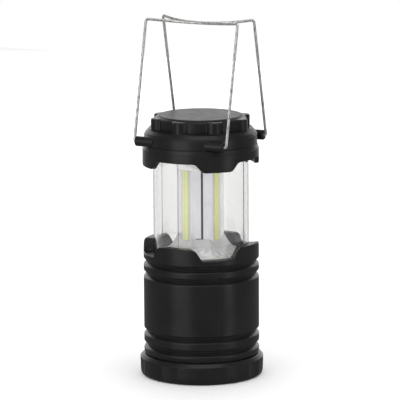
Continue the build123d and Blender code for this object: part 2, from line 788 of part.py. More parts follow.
# ---- Head plate: clamps the tube's bead and carries the column and the driver board --------------
cap_screw_radius = 1.1
standoff_ring = column_flat + 3.4
driver_radius = standoff_ring + 2.4
cap_screw_ring = max(tube_radius - 10.1, driver_radius + 2.9)
with BuildPart() as head_plate:
    with BuildSketch(Plane.XY.offset(plate_bottom)):
        Circle(collar_radius - wall - 2 * seat_gap)
        Circle(inner_flat - 0.8, mode=Mode.SUBTRACT)
        with PolarLocations(cap_screw_ring, 3, start_angle=30):
            Circle(cap_screw_radius + 0.15, mode=Mode.SUBTRACT)
        with PolarLocations(inner_flat + column_wall / 2, 3):
            Rectangle(column_wall + 0.2, tongue_width + 0.3, mode=Mode.SUBTRACT)
    extrude(amount=plate_top - plate_bottom)
    with BuildSketch(Plane.XY.offset(plate_top)):
        with PolarLocations(standoff_ring, 3):
            Circle(1.6)
    extrude(amount=driver_bottom - plate_top)
head_plate.part.label = "head_plate"
export_step(head_plate.part, "parts/head_plate.step")

with BuildPart() as driver_board:
    with BuildSketch(Plane.XY.offset(driver_bottom)):
        Circle(driver_radius)
        with PolarLocations(inner_flat + column_wall / 2, 3):
            Rectangle(column_wall + 0.1, tongue_width + 0.1, mode=Mode.SUBTRACT)
    extrude(amount=driver_thickness)
driver_board.part.label = "driver_board"
export_step(driver_board.part, "parts/driver_board.step")

with BuildPart() as limit_resistor:
    with BuildSketch(Plane.XY.offset(driver_bottom + driver_thickness)):
        Rectangle(6.4, 3.2)
    extrude(amount=0.7)
limit_resistor.part.label = "limit_resistor"
export_step(limit_resistor.part, "parts/limit_resistor.step")

# ---- Collar: four tabs that close on the rim's notches, and four bosses for the bails ------------
with BuildPart() as collar_tabs:
    for angle in (-135, -45, 45, 135):
        with BuildSketch(radial_plane(angle, height=collar_bottom)):
            with BuildLine():
                Polyline(
                    (-tab_root - 4, 1.6), (-tab_root - 4, 0), (-tab_root, 0), (-tab_tip, -tab_height),
                    (tab_tip, -tab_height), (tab_root, 0), (tab_root + 4, 0), (tab_root + 4, 1.6),
                    close=True,
                )
            make_face()
            fillet(vertices().group_by(Axis.Y)[0], radius=2.0)
            roots = vertices().filter_by(lambda v: abs(abs(v.X) - tab_root) < 0.01)
            fillet(roots, radius=2.0)
        extrude(amount=collar_radius + 2)
    with BuildSketch(Plane.XY.offset(collar_bottom - tab_height - 1)):
        Circle(collar_radius)
        Circle(collar_radius - tab_thickness, mode=Mode.SUBTRACT)
    extrude(amount=tab_height + 3, mode=Mode.INTERSECT)

boss_root = math.sqrt((collar_waist - wall)**2 - pivot_y**2) - 1
line_depth = 0.3
collar_outline = [
    (rim_bore, collar_bottom),
    (collar_radius, collar_bottom),
    (collar_radius, collar_bottom + 6.3),
    (collar_radius - line_depth, collar_bottom + 6.5),
    (collar_radius - line_depth, collar_bottom + 6.9),
    (collar_waist + 0.1, collar_bottom + 9.2),
    (collar_waist - line_depth, collar_bottom + 9.3),
    (collar_waist - line_depth, collar_bottom + 9.7),
    (collar_waist, collar_bottom + 9.9),
    (collar_waist, collar_shoulder - 0.5),
    (collar_waist - line_depth, collar_shoulder - 0.3),
    (collar_waist - line_depth, collar_shoulder + 0.1),
    (collar_waist - 0.9, collar_shoulder + 1.2),
    (knob_radius + 0.8, collar_top),
    (head_opening, collar_top),
    (head_opening, collar_top - 1.9),
    (collar_waist - wall, collar_shoulder - 0.6),
    (collar_waist - wall, collar_bottom + 9.0),
    (collar_radius - wall, collar_bottom + 7.0),
    (collar_radius - wall, plate_bottom),
    (tube_radius + tube_bead + seat_gap, plate_bottom),
    (tube_radius + tube_bead + seat_gap, plate_bottom - bead_height - 0.05),
    (rim_bore, plate_bottom - bead_height - 0.05),
]
with BuildPart() as collar:
    with BuildSketch(Plane.XZ):
        with BuildLine():
            Polyline(*collar_outline, close=True)
        make_face()
    revolve(axis=Axis.Z)
    add(collar_tabs.part)
    soft_edges = edges().filter_by(
        lambda e: e.bounding_box().max.Z < collar_bottom + 0.1
        and abs(math.hypot(e.center().X, e.center().Y) - collar_radius) < 3.5
        and abs(math.hypot((e @ 0).X, (e @ 0).Y) - collar_radius) < 0.05
        and abs(math.hypot((e @ 1).X, (e @ 1).Y) - collar_radius) < 0.05
    )
    fillet(soft_edges, radius=0.8)
    for side in (-1, 1):
        for end in (-1, 1):
            with BuildSketch(Plane(origin=(end * boss_root, side * pivot_y, pivot_z), z_dir=(end, 0, 0))):
                Circle(boss_radius)
            extrude(amount=boss_tip - boss_root)
    fillet(edges().filter_by(lambda e: abs(abs(e.center().X) - boss_tip) < 0.01), radius=0.8)
    for side in (-1, 1):
        for end in (-1, 1):
            with BuildSketch(Plane(origin=(end * (foot_end - 0.5), side * pivot_y, pivot_z),
                                   z_dir=(end, 0, 0))):
                Circle(wire_radius + pin_gap)
            extrude(amount=boss_tip - foot_end + 2, mode=Mode.SUBTRACT)
collar.part.label = "collar"
export_step(collar.part, "parts/collar.step")

# ---- Top cap: the knob with eight grips, and its satin plate ---------------------------------------
deck_top = top_plate_top - 1.2
deck_bottom = deck_top - 2.0
grip_radius = 5.8
with BuildPart() as top_cap:
    with BuildSketch(Plane.XY.offset(collar_top)):
        Circle(knob_valley)
        with PolarLocations(knob_radius - grip_radius, 8):
            Circle(grip_radius)
        fillet(vertices(), radius=1.2)
    extrude(amount=knob_height - grip_drop)
    fillet(edges().group_by(Axis.Z)[-1], radius=1.1)
    with BuildSketch(Plane.XY.offset(knob_top - grip_drop - 1.5)):
        Circle(knob_valley)
    extrude(amount=grip_drop + 1.5)
    fillet(edges().group_by(Axis.Z)[-1], radius=0.5)
    with BuildSketch(Plane.XY.offset(collar_top)):
        Circle(knob_radius + 0.3)
    extrude(amount=0.7)
    with BuildSketch(Plane.XY.offset(deck_top)):
        Circle(top_plate_radius + seat_gap)
    extrude(amount=5, mode=Mode.SUBTRACT)
    with BuildSketch(Plane.XY.offset(collar_top - 4)):
        Circle(head_opening - seat_gap)
    extrude(amount=4)
    with BuildSketch(Plane.XY.offset(collar_top - 4)):
        Circle(knob_valley - wall)
    extrude(amount=deck_bottom - collar_top + 4, mode=Mode.SUBTRACT)
    with BuildSketch(Plane.XY.offset(plate_top)):
        with PolarLocations(cap_screw_ring, 3, start_angle=30):
            Circle(2.6)
    extrude(amount=deck_bottom - plate_top)
    with BuildSketch(Plane.XY.offset(plate_top)):
        with PolarLocations(cap_screw_ring, 3, start_angle=30):
            Circle(cap_screw_radius)
    extrude(amount=7, mode=Mode.SUBTRACT)
top_cap.part.label = "top_cap"
export_step(top_cap.part, "parts/top_cap.step")

with BuildPart() as top_plate:
    with BuildSketch(Plane.XY.offset(deck_top)):
        Circle(top_plate_radius)
    extrude(amount=top_plate_top - deck_top)
    fillet(edges().group_by(Axis.Z)[-1], radius=0.4)
top_plate.part.label = "top_plate"
export_step(top_plate.part, "parts/top_plate.step")

with BuildPart() as cap_screws:
    with BuildSketch(Plane.XY.offset(plate_bottom)):
        with PolarLocations(cap_screw_ring, 3, start_angle=30):
            Circle(cap_screw_radius)
    extrude(amount=8)
    with BuildSketch(Plane.XY.offset(plate_bottom)):
        with PolarLocations(cap_screw_ring, 3, start_angle=30):
            Circle(2.2)
    extrude(amount=-1.2)
    with BuildSketch(Plane.XY.offset(plate_bottom - 1.2)):
        with PolarLocations(cap_screw_ring, 3, start_angle=30):
            Rectangle(0.5, 2.6)
            Rectangle(2.6, 0.5)
    extrude(amount=0.7, mode=Mode.SUBTRACT)
cap_screws.part.label = "cap_screws"
export_step(cap_screws.part, "parts/cap_screws.step")

# ==== Bails ================================================================================
# The top bar bows towards the lantern's axis, so that it wraps the barrel when folded down.
half_turn = math.atan(bail_bow / (bail_half + corner_bend))   # half the bow's end angle
bow_angle = 2 * half_turn
bar_x = bail_half - corner_bend * math.cos(bow_angle)
bar_out = corner_bend * math.sin(bow_angle)
corner_mid = corner_bend * (1 - math.sqrt(0.5))
leg_top = bail_length - corner_bend
foot_mid = foot_bend * (1 - math.sqrt(0.5))
for name, side in (("bail_front", 1), ("bail_rear", -1)):
    lean = math.radians(bail_lean)
    frame = Plane(
        origin=(0, -side * pivot_y, pivot_z),
        x_dir=(side, 0, 0),
        z_dir=(0, side * math.sin(lean), math.cos(lean)),
    )
    with BuildPart() as bail:
        with BuildLine(frame) as path:
            for end in (-1, 1):
                Line((end * foot_end, 0, 0), (end * (bail_half - foot_bend), 0, 0))
                ThreePointArc(
                    (end * (bail_half - foot_bend), 0, 0),
                    (end * (bail_half - foot_mid), 0, foot_mid),
                    (end * bail_half, 0, foot_bend),
                )
                Line((end * bail_half, 0, foot_bend), (end * bail_half, 0, leg_top))
                ThreePointArc(
                    (end * bail_half, 0, leg_top),
                    (end * (bail_half - corner_mid * math.cos(bow_angle)),
                     corner_mid * math.sin(bow_angle), leg_top + corner_bend * math.sqrt(0.5)),
                    (end * bar_x, bar_out, bail_length),
                )
            ThreePointArc((-bar_x, bar_out, bail_length), (0, bail_bow, bail_length),
                          (bar_x, bar_out, bail_length))
        wire = Wire(path.line.edges())
        with BuildSketch(Plane(origin=wire @ 0, z_dir=wire % 0)):
            Circle(wire_radius)
        sweep(path=wire)
    bail.part.label = name
    export_step(bail.part, f"parts/{name}.step")

print("overall", cover_radius * 2, top_plate_top, "bail lean", bail_lean, "bow", bail_bow)
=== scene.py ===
import json
import math

import bmesh
import bpy
import numpy as np
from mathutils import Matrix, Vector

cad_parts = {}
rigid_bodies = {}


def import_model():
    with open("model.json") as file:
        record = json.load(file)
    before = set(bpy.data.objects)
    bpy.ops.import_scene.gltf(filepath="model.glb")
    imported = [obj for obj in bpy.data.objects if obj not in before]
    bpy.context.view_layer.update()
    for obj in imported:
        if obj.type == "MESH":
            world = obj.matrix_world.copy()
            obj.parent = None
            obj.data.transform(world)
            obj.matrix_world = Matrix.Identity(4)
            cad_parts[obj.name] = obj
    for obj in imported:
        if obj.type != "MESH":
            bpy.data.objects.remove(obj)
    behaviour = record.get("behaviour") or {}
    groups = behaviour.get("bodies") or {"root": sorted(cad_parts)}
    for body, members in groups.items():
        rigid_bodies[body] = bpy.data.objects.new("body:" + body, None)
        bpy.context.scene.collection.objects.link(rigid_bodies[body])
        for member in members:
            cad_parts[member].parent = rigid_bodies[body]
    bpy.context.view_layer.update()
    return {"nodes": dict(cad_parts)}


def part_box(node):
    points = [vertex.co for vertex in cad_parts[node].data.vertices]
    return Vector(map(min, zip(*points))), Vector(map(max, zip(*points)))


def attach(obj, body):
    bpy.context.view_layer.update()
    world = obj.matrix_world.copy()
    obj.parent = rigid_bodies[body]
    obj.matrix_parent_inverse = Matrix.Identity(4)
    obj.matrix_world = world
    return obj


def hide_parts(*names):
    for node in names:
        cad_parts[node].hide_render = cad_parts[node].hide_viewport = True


for old in list(bpy.data.objects):
    bpy.data.objects.remove(old)

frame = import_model()
nodes = frame["nodes"]
mm = 0.001


# Adds one shader node. A key is an attribute, or the name or number of an input.
def addNode(tree, kind, settings={}, links={}):
    node = tree.nodes.new("ShaderNode" + kind)
    for key, value in settings.items():
        if isinstance(key, str) and hasattr(node, key):
            setattr(node, key, value)
        else:
            node.inputs[key].default_value = value
    for key, socket in links.items():
        tree.links.new(socket, node.inputs[key])
    return node


# sRGB hex to linear, as the shader wants it
def linearColour(hexText):
    parts = [int(hexText[i:i + 2], 16) / 255 for i in (1, 3, 5)]
    return [p / 12.92 if p <= 0.04045 else ((p + 0.055) / 1.055) ** 2.4 for p in parts] + [1.0]


def startMaterial(name):
    material = bpy.data.materials.new(name)
    material.use_nodes = True
    tree = material.node_tree
    tree.nodes.clear()
    shader = addNode(tree, "BsdfPrincipled")
    addNode(tree, "OutputMaterial", links={"Surface": shader.outputs["BSDF"]})
    spot = addNode(tree, "TexCoord").outputs["Object"]
    return material, tree, shader, spot


# Injection-moulded ABS: a satin skin from a spark-eroded mould, so its gloss breaks up a
# little and wide soft highlights run down the round walls.
def makeMouldedAbs(name, look):
    material, tree, shader, spot = startMaterial(name)
    flow = addNode(tree, "TexNoise", {"Scale": 1 / (look["flowMark"] * mm), "Detail": 3.0},
                   {"Vector": spot})
    tint = addNode(tree, "ValToRGB", links={"Fac": flow.outputs["Fac"]})
    tint.color_ramp.elements[0].position = 0.3
    tint.color_ramp.elements[0].color = linearColour(look["dark"])
    tint.color_ramp.elements[1].position = 0.72
    tint.color_ramp.elements[1].color = linearColour(look["light"])
    tree.links.new(tint.outputs["Color"], shader.inputs["Base Color"])
    handling = addNode(tree, "TexNoise", {"Scale": 1 / (look["handling"] * mm), "Detail": 5.0,
                                          "Roughness": 0.6}, {"Vector": spot})
    sheen = addNode(tree, "MapRange", {"From Min": 0.3, "From Max": 0.7,
                                       "To Min": look["roughness"][0],
                                       "To Max": look["roughness"][1]},
                    {"Value": handling.outputs["Fac"]})
    tree.links.new(sheen.outputs["Result"], shader.inputs["Roughness"])
    grain = addNode(tree, "TexNoise", {"Scale": 1 / (look["grain"] * mm), "Detail": 2.0},
                    {"Vector": spot})
    bump = addNode(tree, "Bump", {"Strength": look["grainStrength"], "Distance": 0.02 * mm},
                   {"Height": grain.outputs["Fac"]})
    tree.links.new(bump.outputs["Normal"], shader.inputs["Normal"])
    shader.inputs["IOR"].default_value = 1.53
    return material


# grain is drawn at 0.5 mm, coarser than the real 0.1 mm, so that it still shows
bodyLook = {"dark": "#121214", "light": "#19191b", "flowMark": 22.0, "handling": 9.0,
            "roughness": (0.27, 0.37), "grain": 0.5, "grainStrength": 0.25}
plateLook = {"dark": "#333335", "light": "#3a3a3c", "flowMark": 14.0, "handling": 6.0,
             "roughness": (0.38, 0.48), "grain": 0.35, "grainStrength": 0.5}
mouldedAbs = makeMouldedAbs("mouldedAbs", bodyLook)
satinAbs = makeMouldedAbs("satinAbs", plateLook)


# Clear polycarbonate tube: drawn glossy, with faint upright rub marks from sliding in the rim.
clearLook = {"tint": "#ededec", "rub": 0.35, "rubLength": 40.0}
clearPolycarbonate, tree, shader, spot = startMaterial("clearPolycarbonate")
shader.inputs["Base Color"].default_value = linearColour(clearLook["tint"])
shader.inputs["Transmission Weight"].default_value = 1.0
shader.inputs["IOR"].default_value = 1.585
stretch = addNode(tree, "Mapping", {"Scale": (1.0, 1.0, clearLook["rub"] / clearLook["rubLength"])},
                  {"Vector": spot})
rub = addNode(tree, "TexNoise", {"Scale": 1 / (clearLook["rub"] * mm), "Detail": 2.0},
              {"Vector": stretch.outputs["Vector"]})
haze = addNode(tree, "MapRange", {"From Min": 0.55, "From Max": 0.8, "To Min": 0.015, "To Max": 0.12},
               {"Value": rub.outputs["Fac"]})
tree.links.new(haze.outputs["Result"], shader.inputs["Roughness"])


# Vacuum-metallised ABS: a thin aluminium film that copies the moulding's slight orange peel. It is
# only part metallic here, so that the dim room doesn't turn it grey.
def makeMetallised(name, look):
    material, tree, shader, spot = startMaterial(name)
    shader.inputs["Metallic"].default_value = look["metallic"]
    cloud = addNode(tree, "TexNoise", {"Scale": 1 / (look["cloud"] * mm), "Detail": 3.0},
                    {"Vector": spot})
    tint = addNode(tree, "ValToRGB", links={"Fac": cloud.outputs["Fac"]})
    tint.color_ramp.elements[0].position = 0.3
    tint.color_ramp.elements[0].color = linearColour(look["dark"])
    tint.color_ramp.elements[1].position = 0.7
    tint.color_ramp.elements[1].color = linearColour(look["light"])
    tree.links.new(tint.outputs["Color"], shader.inputs["Base Color"])
    film = addNode(tree, "MapRange", {"From Min": 0.3, "From Max": 0.7,
                                      "To Min": look["roughness"][0],
                                      "To Max": look["roughness"][1]},
                   {"Value": cloud.outputs["Fac"]})
    tree.links.new(film.outputs["Result"], shader.inputs["Roughness"])
    peel = addNode(tree, "TexNoise", {"Scale": 1 / (look["peel"] * mm), "Detail": 1.0},
                   {"Vector": spot})
    bump = addNode(tree, "Bump", {"Strength": look["peelStrength"], "Distance": look["peelDepth"] * mm},
                   {"Height": peel.outputs["Fac"]})
    tree.links.new(bump.outputs["Normal"], shader.inputs["Normal"])
    return material


panelLook = {"dark": "#e6e4ec", "light": "#f4f3f6", "cloud": 12.0, "roughness": (0.12, 0.2),
             "peel": 2.5, "peelStrength": 0.3, "peelDepth": 0.05, "metallic": 0.4}
dishLook = {"dark": "#eeeef0", "light": "#fafafa", "cloud": 8.0, "roughness": (0.05, 0.12),
            "peel": 2.4, "peelStrength": 0.8, "peelDepth": 0.3, "metallic": 0.42}
metallisedPanel = makeMetallised("metallisedPanel", panelLook)
metallisedDish = makeMetallised("metallisedDish", dishLook)


# Drawn and nickel-plated steel wire: bright, with streaks along its height that are partly die marks and
# partly painted dark and light reflection streaks. It is part metallic for the same reason as the reflectors.
wireLook = {"dark": "#9c9b99", "light": "#fafaf8", "dieMarkAndPaintedStreak": 0.5, "dieMarkAndPaintedStreakLength": 12.0}
platedWire, tree, shader, spot = startMaterial("platedWire")
shader.inputs["Metallic"].default_value = 0.8
stretch = addNode(tree, "Mapping", {"Scale": (1.0, 1.0, wireLook["dieMarkAndPaintedStreak"] / wireLook["dieMarkAndPaintedStreakLength"])},
                  {"Vector": spot})
dieMarkAndPaintedStreak = addNode(tree, "TexNoise", {"Scale": 1 / (wireLook["dieMarkAndPaintedStreak"] * mm), "Detail": 3.0},
               {"Vector": stretch.outputs["Vector"]})
# the dark and light ends of this tint paint reflection streaks down the wire, on top of the real die marks
tint = addNode(tree, "ValToRGB", links={"Fac": dieMarkAndPaintedStreak.outputs["Fac"]})
tint.color_ramp.elements[0].position = 0.4
tint.color_ramp.elements[0].color = linearColour(wireLook["dark"])
tint.color_ramp.elements[1].position = 0.52
tint.color_ramp.elements[1].color = linearColour(wireLook["light"])
tree.links.new(tint.outputs["Color"], shader.inputs["Base Color"])
film = addNode(tree, "MapRange", {"To Min": 0.08, "To Max": 0.18}, {"Value": dieMarkAndPaintedStreak.outputs["Fac"]})
tree.links.new(film.outputs["Result"], shader.inputs["Roughness"])


# Silicone with phosphor, poured over rows of small chips that show as faint darker dots.
phosphorLook = {"light": "#eff4b4", "deep": "#dfe496", "chipPitch": 1.9, "chip": 0.42}
phosphorSilicone, tree, shader, spot = startMaterial("phosphorSilicone")
dots = addNode(tree, "TexVoronoi", {"Scale": 1 / (phosphorLook["chipPitch"] * mm), "Randomness": 0.0},
               {"Vector": spot})
chip = addNode(tree, "MapRange", {"From Min": phosphorLook["chip"] - 0.12,
                                  "From Max": phosphorLook["chip"] + 0.12},
               {"Value": dots.outputs["Distance"]})
tint = addNode(tree, "Mix", {"data_type": "RGBA", 6: linearColour(phosphorLook["deep"]),
                             7: linearColour(phosphorLook["light"])}, {0: chip.outputs["Result"]})
tree.links.new(tint.outputs[2], shader.inputs["Base Color"])
shader.inputs["Roughness"].default_value = 0.38
shader.inputs["Subsurface Weight"].default_value = 0.25
shader.inputs["Subsurface Radius"].default_value = (0.0012, 0.001, 0.0004)
shader.inputs["IOR"].default_value = 1.41


# Solder mask over copper: flat and slightly glossy, with faint tracks under the lacquer.
def makeSolderMask(name, look):
    material, tree, shader, spot = startMaterial(name)
    tracks = addNode(tree, "TexVoronoi", {"distance": "CHEBYCHEV", "feature": "DISTANCE_TO_EDGE",
                                          "Scale": 1 / (look["trackPitch"] * mm),
                                          "Randomness": 0.7}, {"Vector": spot})
    edge = addNode(tree, "MapRange", {"From Min": 0.03, "From Max": 0.08},
                   {"Value": tracks.outputs["Distance"]})
    tint = addNode(tree, "Mix", {"data_type": "RGBA", 6: linearColour(look["track"]),
                                 7: linearColour(look["mask"])}, {0: edge.outputs["Result"]})
    tree.links.new(tint.outputs[2], shader.inputs["Base Color"])
    bump = addNode(tree, "Bump", {"Strength": 0.3, "Distance": 0.03 * mm},
                   {"Height": edge.outputs["Result"]})
    tree.links.new(bump.outputs["Normal"], shader.inputs["Normal"])
    shader.inputs["Roughness"].default_value = look["roughness"]
    shader.inputs["IOR"].default_value = 1.5
    return material


whiteMask = makeSolderMask("whiteMask", {"mask": "#d9d7e2", "track": "#cfccd9", "trackPitch": 6.0,
                                         "roughness": 0.3})
greenMask = makeSolderMask("greenMask", {"mask": "#1c5a31", "track": "#2a7040", "trackPitch": 3.0,
                                         "roughness": 0.35})


# Stamped or coated metal: contact plates, springs and screws, dulled a little by plating.
def makePlatedMetal(name, look):
    material, tree, shader, spot = startMaterial(name)
    shader.inputs["Metallic"].default_value = 1.0
    stain = addNode(tree, "TexNoise", {"Scale": 1 / (look["stain"] * mm), "Detail": 4.0},
                    {"Vector": spot})
    tint = addNode(tree, "ValToRGB", links={"Fac": stain.outputs["Fac"]})
    tint.color_ramp.elements[0].position = 0.35
    tint.color_ramp.elements[0].color = linearColour(look["dark"])
    tint.color_ramp.elements[1].position = 0.65
    tint.color_ramp.elements[1].color = linearColour(look["light"])
    tree.links.new(tint.outputs["Color"], shader.inputs["Base Color"])
    wear = addNode(tree, "MapRange", {"To Min": look["roughness"][0], "To Max": look["roughness"][1]},
                   {"Value": stain.outputs["Fac"]})
    tree.links.new(wear.outputs["Result"], shader.inputs["Roughness"])
    bump = addNode(tree, "Bump", {"Strength": 0.2, "Distance": 0.02 * mm},
                   {"Height": stain.outputs["Fac"]})
    tree.links.new(bump.outputs["Normal"], shader.inputs["Normal"])
    return material


nickelContact = makePlatedMetal("nickelContact", {"dark": "#b3aea4", "light": "#cfcbc2", "stain": 1.2,
                                                  "roughness": (0.15, 0.35)})
rawBrass = makePlatedMetal("rawBrass", {"dark": "#b98f45", "light": "#d3ab5c", "stain": 2.0,
                                        "roughness": (0.2, 0.42)})
zincScrew = makePlatedMetal("zincScrew", {"dark": "#8f9190", "light": "#b4b6b4", "stain": 0.8,
                                          "roughness": (0.25, 0.45)})

# Nitrile seal: matt black rubber with a light bloom
sealRubber = makeMouldedAbs("sealRubber", {"dark": "#151515", "light": "#202020", "flowMark": 5.0,
                                           "handling": 2.0, "roughness": (0.6, 0.75), "grain": 0.3,
                                           "grainStrength": 0.6})
# Ceramic chip with a black printed face
chipCeramic = makeMouldedAbs("chipCeramic", {"dark": "#18181a", "light": "#26262a", "flowMark": 1.5,
                                             "handling": 0.8, "roughness": (0.35, 0.5), "grain": 0.2,
                                             "grainStrength": 0.5})


# Cell: a shrunk film jacket, graphite with a lighter band, and bare nickel at both ends.
def makeCellJacket(name, lowEnd, highEnd, up):
    material, tree, shader, spot = startMaterial(name)
    axes = addNode(tree, "SeparateXYZ", links={"Vector": spot})
    along = addNode(tree, "MapRange", {"From Min": lowEnd if up else highEnd,
                                       "From Max": highEnd if up else lowEnd},
                    {"Value": axes.outputs["Z"]})
    bands = addNode(tree, "ValToRGB", links={"Fac": along.outputs["Result"]})
    bands.color_ramp.interpolation = "CONSTANT"
    bands.color_ramp.elements[0].color = linearColour("#b9b6b0")
    bands.color_ramp.elements[1].position = 0.012
    bands.color_ramp.elements[1].color = linearColour("#2a2d33")
    for place, colour in ((0.74, "#9a7b4a"), (0.955, "#b9b6b0")):
        bands.color_ramp.elements.new(place).color = linearColour(colour)
    tree.links.new(bands.outputs["Color"], shader.inputs["Base Color"])
    metal = addNode(tree, "ValToRGB", links={"Fac": along.outputs["Result"]})
    metal.color_ramp.interpolation = "CONSTANT"
    metal.color_ramp.elements[0].color = (1, 1, 1, 1)
    metal.color_ramp.elements[1].position = 0.012
    metal.color_ramp.elements[1].color = (0, 0, 0, 1)
    metal.color_ramp.elements.new(0.955).color = (1, 1, 1, 1)
    tree.links.new(metal.outputs["Color"], shader.inputs["Metallic"])
    film = addNode(tree, "TexNoise", {"Scale": 1 / (4 * mm), "Detail": 3.0}, {"Vector": spot})
    gloss = addNode(tree, "MapRange", {"To Min": 0.2, "To Max": 0.34}, {"Value": film.outputs["Fac"]})
    tree.links.new(gloss.outputs["Result"], shader.inputs["Roughness"])
    return material


for number in (1, 2, 3):
    low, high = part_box(f"battery_cell_{number}")
    jacket = makeCellJacket(f"cellJacket{number}", low.z, high.z, number != 2)
    nodes[f"battery_cell_{number}"].data.materials[0] = jacket

finishes = {
    mouldedAbs: ["base_barrel", "bottom_cover", "collar", "top_cap", "column_frame", "stop_ring",
                 "head_plate", "battery_cage", "contact_carrier", "contact_post"],
    satinAbs: ["top_plate"],
    sealRubber: ["base_seal"],
    clearPolycarbonate: ["clear_tube"],
    metallisedPanel: ["reflector_panel_1", "reflector_panel_2", "reflector_panel_3"],
    metallisedDish: ["bottom_reflector", "top_reflector"],
    platedWire: ["bail_front", "bail_rear"],
    phosphorSilicone: ["cob_strip_1", "cob_strip_2", "cob_strip_3"],
    whiteMask: ["cob_board_1", "cob_board_2", "cob_board_3"],
    greenMask: ["driver_board"],
    chipCeramic: ["limit_resistor"],
    nickelContact: ["cell_spring_1", "cell_spring_2", "cell_spring_3", "bottom_bridge", "top_bridge"],
    rawBrass: ["return_strip", "leaf_positive", "leaf_negative", "switch_tab_1", "switch_tab_2"],
    zincScrew: ["cage_screws", "cap_screws"],
}
for material, names in finishes.items():
    for name in names:
        nodes[name].data.materials[0] = material
# Light skips the clear tube on its way to what the tube covers. This isn't physical: it keeps the
# column bright.
nodes["clear_tube"].visible_shadow = nodes["clear_tube"].visible_diffuse = False
print("materials done")

# Rounds the corners of a line of points, each with a reach after its coordinates. A corner becomes
# the quadratic curve (1-t)^2 A + 2t(1-t) P + t^2 B, where A and B lie that reach from P on its sides.
def roundCorners(points, steps=5, closed=True):
    points = np.array(points, float)
    place, reach = points[:, :-1], points[:, -1]
    before, after = np.roll(place, 1, 0) - place, np.roll(place, -1, 0) - place
    lengths = np.linalg.norm(before, axis=1), np.linalg.norm(after, axis=1)
    reach = np.minimum(reach, 0.45 * np.minimum(*lengths))
    if not closed:
        reach[[0, -1]] = 0
    start = place + before * (reach / lengths[0])[:, None]
    end = place + after * (reach / lengths[1])[:, None]
    t = np.linspace(0, 1, steps)[None, :, None]
    curve = (1 - t)**2 * start[:, None] + 2 * t * (1 - t) * place[:, None] + t**2 * end[:, None]
    curve = curve.reshape(-1, place.shape[1])
    fresh = np.r_[True, np.linalg.norm(np.diff(curve, axis=0), axis=1) > 1e-6]
    return curve[fresh]


# Makes one mesh from grids of points in millimetres. Each grid is (rows, columns, 3); its columns
# close round, and its rows close too unless they end in poles. Faces are turned outwards.
def gridPiece(name, grids, material, body, stands, poles=False):
    vertices, faces, offset = [], [], 0
    for grid in grids:
        rows, columns = grid.shape[:2]
        number = np.arange(rows * columns).reshape(rows, columns)
        down = number if poles else np.vstack([number, number[:1]])
        across = np.hstack([down, down[:, :1]])
        quads = np.stack([across[:-1, :-1], across[:-1, 1:], across[1:, 1:], across[1:, :-1]], -1)
        vertices.append(grid.reshape(-1, 3) * mm)
        faces.append(quads.reshape(-1, 4) + offset)
        offset += rows * columns
    mesh = bpy.data.meshes.new(name)
    mesh.from_pydata(np.vstack(vertices), [], np.vstack(faces))
    tidy = bmesh.new()
    tidy.from_mesh(mesh)
    bmesh.ops.remove_doubles(tidy, verts=tidy.verts, dist=2e-6)
    bmesh.ops.dissolve_degenerate(tidy, edges=tidy.edges, dist=1e-6)
    bmesh.ops.recalc_face_normals(tidy, faces=tidy.faces)
    tidy.to_mesh(mesh)
    tidy.free()
    mesh.shade_smooth()
    mesh.set_sharp_from_angle(angle=math.radians(38))
    mesh.materials.append(material)
    piece = bpy.data.objects.new(name, mesh)
    bpy.context.scene.collection.objects.link(piece)
    piece.modifiers.new("evenShading", "WEIGHTED_NORMAL").keep_sharp = True
    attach(piece, body)
    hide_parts(*stands)
    return piece


# Turns an outline of (distance out, height) round the upright axis. change(r, z, angle) may then
# move its points, as whole arrays.
def turnedGrid(outline, angles, change=None):
    r = np.repeat(outline[:, :1], len(angles), 1)
    z = np.repeat(outline[:, 1:2], len(angles), 1)
    angle = np.repeat(angles[None, :], len(outline), 0)
    if change:
        r, z = change(r, z, angle)
    return np.stack([r * np.cos(angle), r * np.sin(angle), z], -1)


# Even steps round the circle, with finer ones near the places given in degrees
def circleAngles(count, places=(), spread=1.2, extra=9):
    steps = [np.linspace(0, 360, count, endpoint=False)]
    steps += [place + np.linspace(-spread, spread, extra) for place in places]
    return np.radians(np.unique(np.round(np.concatenate(steps) % 360, 3)))


# Barrel: a turned outline. Its rim height follows the notch line, read at the point's sideways
# distance from the nearest notch, and the wall below it stretches to suit.
barrel = {"radius": 41.4, "bottom": 15.45, "rim": 97.2, "rimBottom": 88.4, "rimBore": 34.4,
          "grooves": (24.65, 34.4, 76.3, 85.2), "depth": 2.2, "lead": 3.6, "step": 1.2,
          "notchDepth": 8.0, "notchTip": 11.6, "notchRoot": 16.6, "notchBend": 2.2,
          "partingDepth": 0.32, "partingHalf": 0.26, "keyHeight": 0.6, "keyHalf": 0.45}
wall = [(37.7, 4.2, 0.3), (40.1, 4.2, 0.3), (40.1, barrel["bottom"], 0),
        (barrel["radius"] - 0.7, barrel["bottom"], 0.2), (barrel["radius"], 18.05, 0.5)]
for top in barrel["grooves"]:
    wall += [(barrel["radius"], top - barrel["lead"] - barrel["step"], 0.8),
             (barrel["radius"] - barrel["depth"], top - barrel["lead"] + 0.3, 0.3),
             (barrel["radius"] - 0.9, top - 0.5, 0.4), (barrel["radius"], top, 0.3)]
wall += [(barrel["radius"], barrel["rim"], 1.1), (barrel["rimBore"], barrel["rim"], 0.4),
         (barrel["rimBore"], barrel["rimBottom"], 0.1), (37.1, barrel["rimBottom"], 0),
         (37.1, 69.8, 0.5), (39.2, 67.7, 0.5), (39.2, 38.0, 0.5), (37.1, 35.9, 0.5),
         (37.1, 18.8, 0.3), (33.2, 18.8, 0.2), (33.2, 17.0, 0.2), (37.7, 17.0, 0)]
notchLine = roundCorners([(0, -barrel["notchDepth"], 0),
                          (barrel["notchTip"], -barrel["notchDepth"], barrel["notchBend"]),
                          (barrel["notchRoot"], 0, barrel["notchBend"]), (60, 0, 0)], 9, False)


